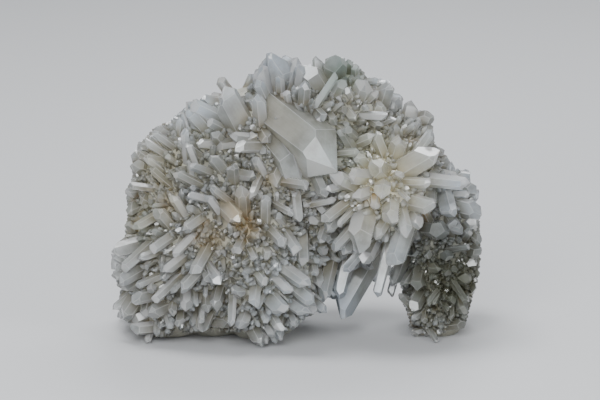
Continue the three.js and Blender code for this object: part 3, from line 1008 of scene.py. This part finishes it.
def grown(layer, random):
    """The bases, tips and widths of a layer's crystals: each is tried at several lengths until it fits."""
    roots, normals, factors = scatter(layer, random)
    count = len(roots)
    widths = random.uniform(*layer["width"], count) * factors[:, 0]
    lengths = random.uniform(*layer["length"], count) * factors[:, 1]
    away = fan_directions(roots, normals)
    tips = np.zeros((count, 3))
    placed = np.zeros(count, dtype=bool)
    for share in TRIED_LENGTHS:
        lean = random.normal(size=(count, 3))
        lean /= np.linalg.norm(lean, axis=1)[:, None]
        stand = random.uniform(*layer["stand"], count)[:, None]
        lying = away * layer["fan"] + lean * layer["lean"]
        lying -= normals * np.einsum("ij,ij->i", lying, normals)[:, None]
        lying /= np.linalg.norm(lying, axis=1)[:, None]
        axes = lying + normals * stand
        axes /= np.linalg.norm(axes, axis=1)[:, None]
        tried = roots + axes * (lengths * share)[:, None]
        fits = ~placed & inside_outline(tried) & np.all((tried > TIP_BOX[0]) & (tried < TIP_BOX[1]), axis=1)
        fits &= clear_of_large(roots, tried, widths)
        tips[fits] = tried[fits]
        placed |= fits
    roots, normals, tips, widths = roots[placed], normals[placed], tips[placed], widths[placed]
    return roots - normals * (FINE_SINK_SHARE * widths + FINE_SINK)[:, None], tips, widths


def long_prisms(bases, tips, widths):
    """Crystals built one by one, with rims; later and finer ones leave most of each open to view."""
    parts = MeshParts()
    draw = make_random(PRISM_SEED)
    for base, tip, width in zip(bases, tips, widths):
        in_front = tip @ NEAR > base @ NEAR - TURNED_AWAY
        add_large_crystal(parts, base, tip, width, draw, in_front, PRISM_COVERED)
    return parts


def stretched_copies(bases, tips, widths, shapes, random):
    """Crystals that are copies of the shapes, each scaled to its width and drawn out to its base."""
    count = len(bases)
    tints = random.random(count)
    rolls = random.uniform(0, 2 * math.pi, count)
    kinds = random.integers(0, len(shapes), count)
    axes = tips - bases
    full = np.linalg.norm(axes, axis=1)
    axes /= full[:, None]
    helper = np.where(np.abs(axes[:, 2:3]) < UPRIGHT, np.array([[0, 0, 1.0]]), np.array([[1.0, 0, 0]]))
    side = np.cross(helper, axes)
    side /= np.linalg.norm(side, axis=1)[:, None]
    other = np.cross(axes, side)
    cos, sin = np.cos(rolls)[:, None], np.sin(rolls)[:, None]
    side, other = cos * side + sin * other, cos * other - sin * side
    parts = MeshParts()
    for kind, (corners, low, high, loops, sizes) in enumerate(shapes):
        mine = np.flatnonzero(kinds == kind)
        if not len(mine):
            continue
        local = np.repeat(corners[None], len(mine), axis=0) * widths[mine, None, None]
        above = local[:, high]
        below = local[:, low]
        stretch = (full[mine, None] + above[:, :, 2]) / (above[:, :, 2] - below[:, :, 2])
        local[:, low] = above + (below - above) * stretch[:, :, None]
        turned = (local[:, :, 0:1] * side[mine, None] + local[:, :, 1:2] * other[mine, None]
                  + local[:, :, 2:3] * axes[mine, None])
        points = turned + tips[mine, None]
        points[:, :, 2] = np.maximum(points[:, :, 2], 0.0)
        along = 1 + local[:, :, 2] / full[mine, None]
        shifted = local + tints[mine, None, None] * TEXTURE_SHIFT
        # A random value for each face, which the material turns into painted shade
        facet = random.random(len(mine) * len(sizes))
        parts.add_many(points, shifted, along, tints[mine], loops, sizes, facet)
    return parts


def fine_crystals(layer, shapes):
    random = np.random.default_rng(layer["seed"])
    bases, tips, widths = grown(layer, random)
    if layer["one_by_one"]:
        return long_prisms(bases, tips, widths)
    return stretched_copies(bases, tips, widths, shapes, random)


# Rock

def vertex_vectors(mesh, field):
    values = np.empty(len(mesh.vertices) * 3)
    mesh.vertices.foreach_get(field, values)
    return values.reshape(-1, 3)


def make_rock(material):
    """The lumps joined in one surface with low bumps."""
    mesh = bpy.data.meshes.new("rock_lumps")
    made = bpy.data.objects.new("rock", mesh)
    bpy.context.scene.collection.objects.link(made)
    shell = bmesh.new()
    for centre, radii in ROCK_LUMPS:
        place = Matrix.Translation(Vector((centre - FOOTPRINT_MIDDLE) * MM))
        size = Matrix.Diagonal((*((radii + ROCK_SWELL) * MM), 1))
        bmesh.ops.create_icosphere(shell, subdivisions=LUMP_SUBDIVISIONS, radius=1, matrix=place @ size)
    shell.to_mesh(mesh)
    shell.free()
    remesh = made.modifiers.new("joined", "REMESH")
    remesh.mode = "VOXEL"
    remesh.voxel_size = ROCK_VOXEL * MM
    evaluated = made.evaluated_get(bpy.context.evaluated_depsgraph_get())
    joined = bpy.data.meshes.new_from_object(evaluated)
    made.modifiers.clear()
    made.data = joined
    random = np.random.default_rng(ROCK_SEED)
    waves = random.normal(size=(BUMP_WAVES, 3)) * BUMP_WAVE_NUMBER
    phases = random.uniform(0, 2 * math.pi, BUMP_WAVES)
    places = vertex_vectors(joined, "co")
    bumps = np.cos(places @ waves.T + phases).sum(axis=1) / math.sqrt(BUMP_WAVES)
    places += vertex_vectors(joined, "normal") * (bumps * BUMP_HEIGHT * MM)[:, None]
    places[:, 2] = np.maximum(places[:, 2], 0)
    joined.vertices.foreach_set("co", places.ravel())
    joined.update()
    # The rock takes the tints with painted light and painted shade by place too
    layer = joined.attributes.new("zone", "FLOAT_COLOR", "POINT")
    layer.data.foreach_set("color", zone_tints_and_painted_shading(places / MM + FOOTPRINT_MIDDLE).astype(np.float32).ravel())
    joined.materials.clear()
    joined.materials.append(material)
    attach(made, "root")
    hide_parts("quartz_cluster")
    return made


# Materials

class Shading:
    """A new material with short ways to add its nodes."""

    def __init__(self, name):
        self.material = bpy.data.materials.new(name)
        self.material.use_nodes = True
        self.nodes = self.material.node_tree.nodes
        self.link = self.material.node_tree.links.new
        self.shader = self.nodes["Principled BSDF"]

    def node(self, kind, source=None, socket=None, **inputs):
        node = self.nodes.new(kind)
        for key, value in inputs.items():
            node.inputs[key.replace("_", " ")].default_value = value
        if source is not None:
            self.link(source, node.inputs[socket])
        return node

    def attribute(self, name, output="Fac"):
        node = self.nodes.new("ShaderNodeAttribute")
        node.attribute_name = name
        return node.outputs[output]

    def object_place(self):
        return self.nodes.new("ShaderNodeTexCoord").outputs["Object"]

    def ramp(self, source, stops):
        """Colours by value: each stop is (place, colour)."""
        node = self.node("ShaderNodeValToRGB", source, "Fac")
        elements = node.color_ramp.elements
        while len(elements) < len(stops):
            elements.new(0.5)
        for element, (place, colour) in zip(elements, stops):
            element.position = place
            element.color = (*colour, 1)
        return node.outputs["Color"]

    def mix(self, blend, factor, first, second):
        node = self.nodes.new("ShaderNodeMix")
        node.data_type = "RGBA"
        node.blend_type = blend
        for socket, value in ((node.inputs[0], factor), (node.inputs[6], first), (node.inputs[7], second)):
            if isinstance(value, float):
                socket.default_value = value
            elif isinstance(value, tuple):
                socket.default_value = (*value, 1)
            else:
                self.link(value, socket)
        return node.outputs[2]

    def multiply(self, first, second):
        return self.mix("MULTIPLY", 1.0, first, second)

    def stretch(self, place, scale):
        return self.node("ShaderNodeMapping", place, "Vector", Scale=scale).outputs["Vector"]

    def noise(self, place, scale, detail=3.0):
        return self.node("ShaderNodeTexNoise", place, "Vector", Scale=scale, Detail=detail,
                         Roughness=NOISE_ROUGHNESS).outputs["Fac"]

    def map_range(self, source, **limits):
        return self.node("ShaderNodeMapRange", source, "Value", **limits).outputs[0]

    def bump(self, height, strength, distance):
        node = self.node("ShaderNodeBump", height, "Height", Strength=strength, Distance=distance)
        self.link(node.outputs["Normal"], self.shader.inputs["Normal"])

    def set(self, **inputs):
        for key, value in inputs.items():
            self.shader.inputs[key.replace("_", " ")].default_value = value


def quartz_material():
    """Milky quartz: a veiled body, clearer tips, rims with a painted highlight, faces with painted shade,
    stains near the rock.
    """
    quartz = Shading("milky_quartz")
    place = quartz.attribute("crystal_place", "Vector")
    # Tints with painted light and painted shade by place
    zone = quartz.attribute("zone", "Color")

    body = quartz.ramp(quartz.attribute("tint"), BODY_COLOURS)
    toward_tip = quartz.mix("MIX", quartz.ramp(quartz.attribute("along"), TIP_SHARE), body, TIP_COLOUR)
    veiled = quartz.multiply(toward_tip, quartz.ramp(quartz.noise(place, VEIL_SCALE, 6.0), VEIL_COLOURS))
    drawn_out = quartz.stretch(place, STREAK_SCALE)
    streaked = quartz.multiply(veiled, quartz.ramp(quartz.noise(drawn_out, 1.0), STREAK_COLOURS))
    # Painted shade: a random darkening of each whole face, so that faces differ as if lit apart
    faceted = quartz.multiply(streaked, quartz.ramp(quartz.attribute("facet"), FACET_SHADES))
    zoned = quartz.multiply(faceted, zone)

    height = quartz.map_range(quartz.attribute("rock_height"), From_Min=STAIN_FROM, From_Max=STAIN_TO)
    rust = quartz.ramp(quartz.noise(quartz.object_place(), RUST_SCALE, 4.0), RUST_COLOURS)
    stain = quartz.mix("MIX", quartz.ramp(height, CLEAN_SHARE), rust, FULL)
    stained = quartz.multiply(zoned, stain)
    # Painted highlight: the rims take the zone factor alone, brighter than the veiled, streaked and stained
    # body
    rimmed = quartz.mix("MIX", quartz.attribute("rim"), stained, zone)
    colour = quartz.mix("MIX", RIM_HIGHLIGHT_STRENGTH, stained, rimmed)
    colour.node.clamp_result = True
    quartz.link(colour, quartz.shader.inputs["Base Color"])

    growth_lines = quartz.noise(quartz.stretch(place, GROWTH_LINE_SCALE), 1.0, 2.0)
    quartz.bump(growth_lines, 0.25, 0.2 * MM)
    roughness = quartz.map_range(quartz.noise(place, SHEEN_SCALE), To_Min=0.0, To_Max=QUARTZ_ROUGHEST)
    quartz.link(roughness, quartz.shader.inputs["Roughness"])
    quartz.set(IOR=1.54, Transmission_Weight=0.76, Subsurface_Weight=0.9,
               Subsurface_Radius=(1.0, 1.0, 1.0), Subsurface_Scale=1.3 * MM)
    return quartz.material


def rock_material():
    """Dull greenish rock with grains and a few rusty patches, times the tints and painted light and shade by
    place.
    """
    rock = Shading("druse_rock")
    place = rock.object_place()
    colour = rock.ramp(rock.noise(place, ROCK_PATCH_SCALE, 6.0), ROCK_COLOURS)
    rock.link(rock.multiply(colour, rock.attribute("zone", "Color")), rock.shader.inputs["Base Color"])
    grains = rock.node("ShaderNodeTexVoronoi", place, "Vector", Scale=ROCK_GRAIN_SCALE)
    rock.bump(grains.outputs["Distance"], 0.7, 0.8 * MM)
    rock.set(Roughness=0.6, Subsurface_Weight=0.5, Subsurface_Radius=(1.0, 1.0, 1.0), Subsurface_Scale=MM)
    return rock.material


# Studio

def make_floor():
    mesh = bpy.data.meshes.new("floor")
    corners = [(-FLOOR_HALF, -FLOOR_HALF, 0), (FLOOR_HALF, -FLOOR_HALF, 0), (FLOOR_HALF, FLOOR_HALF, 0),
               (-FLOOR_HALF, FLOOR_HALF, 0)]
    mesh.from_pydata(corners, [], [(0, 1, 2, 3)])
    floor = bpy.data.objects.new("floor", mesh)
    bpy.context.scene.collection.objects.link(floor)
    paint = Shading("pale_floor")
    paint.set(Base_Color=FLOOR_COLOUR, Roughness=0.6)
    mesh.materials.append(paint.material)


def make_lights():
    for name, place, size, power, colour in LIGHTS:
        data = bpy.data.lights.new(name, "AREA")
        data.shape = "RECTANGLE"
        data.size, data.size_y = size
        data.energy = power
        data.color = colour
        light = bpy.data.objects.new(name, data)
        light.location = place
        light.rotation_euler = (Vector(LIGHTS_AIM) - Vector(place)).to_track_quat("-Z", "Y").to_euler()
        light.visible_transmission = False
        bpy.context.scene.collection.objects.link(light)
    world = bpy.data.worlds.new("studio")
    world.use_nodes = True
    background = world.node_tree.nodes["Background"]
    background.inputs["Color"].default_value = WORLD_COLOUR
    background.inputs["Strength"].default_value = WORLD_STRENGTH
    bpy.context.scene.world = world


def make_camera():
    data = bpy.data.cameras.new("camera")
    data.sensor_width = SENSOR
    data.lens = SENSOR * CAMERA_DISTANCE / FRAME_WIDTH
    data.clip_end = CLIP_END
    camera = bpy.data.objects.new("camera", data)
    place = from_front(*FRAME_CENTRE, FRAME_DEPTH + CAMERA_DISTANCE) - FOOTPRINT_MIDDLE
    camera.location = place * MM
    camera.rotation_euler = (math.pi / 2 - FRONT_DIP, 0, 0)
    bpy.context.scene.collection.objects.link(camera)
    bpy.context.scene.camera = camera


def main():
    make_camera()
    quartz = quartz_material()
    large = MeshParts()
    add_front_crystals(large, LARGE_CRYSTALS + FINE_CRYSTALS)
    add_crystals_around(large)
    make_object("crystals_large", large, quartz)
    shapes = crystal_shapes()
    for layer in FINE_LAYERS:
        make_object(layer["name"], fine_crystals(layer, shapes), quartz)
    make_rock(rock_material())
    make_floor()
    make_lights()


main()
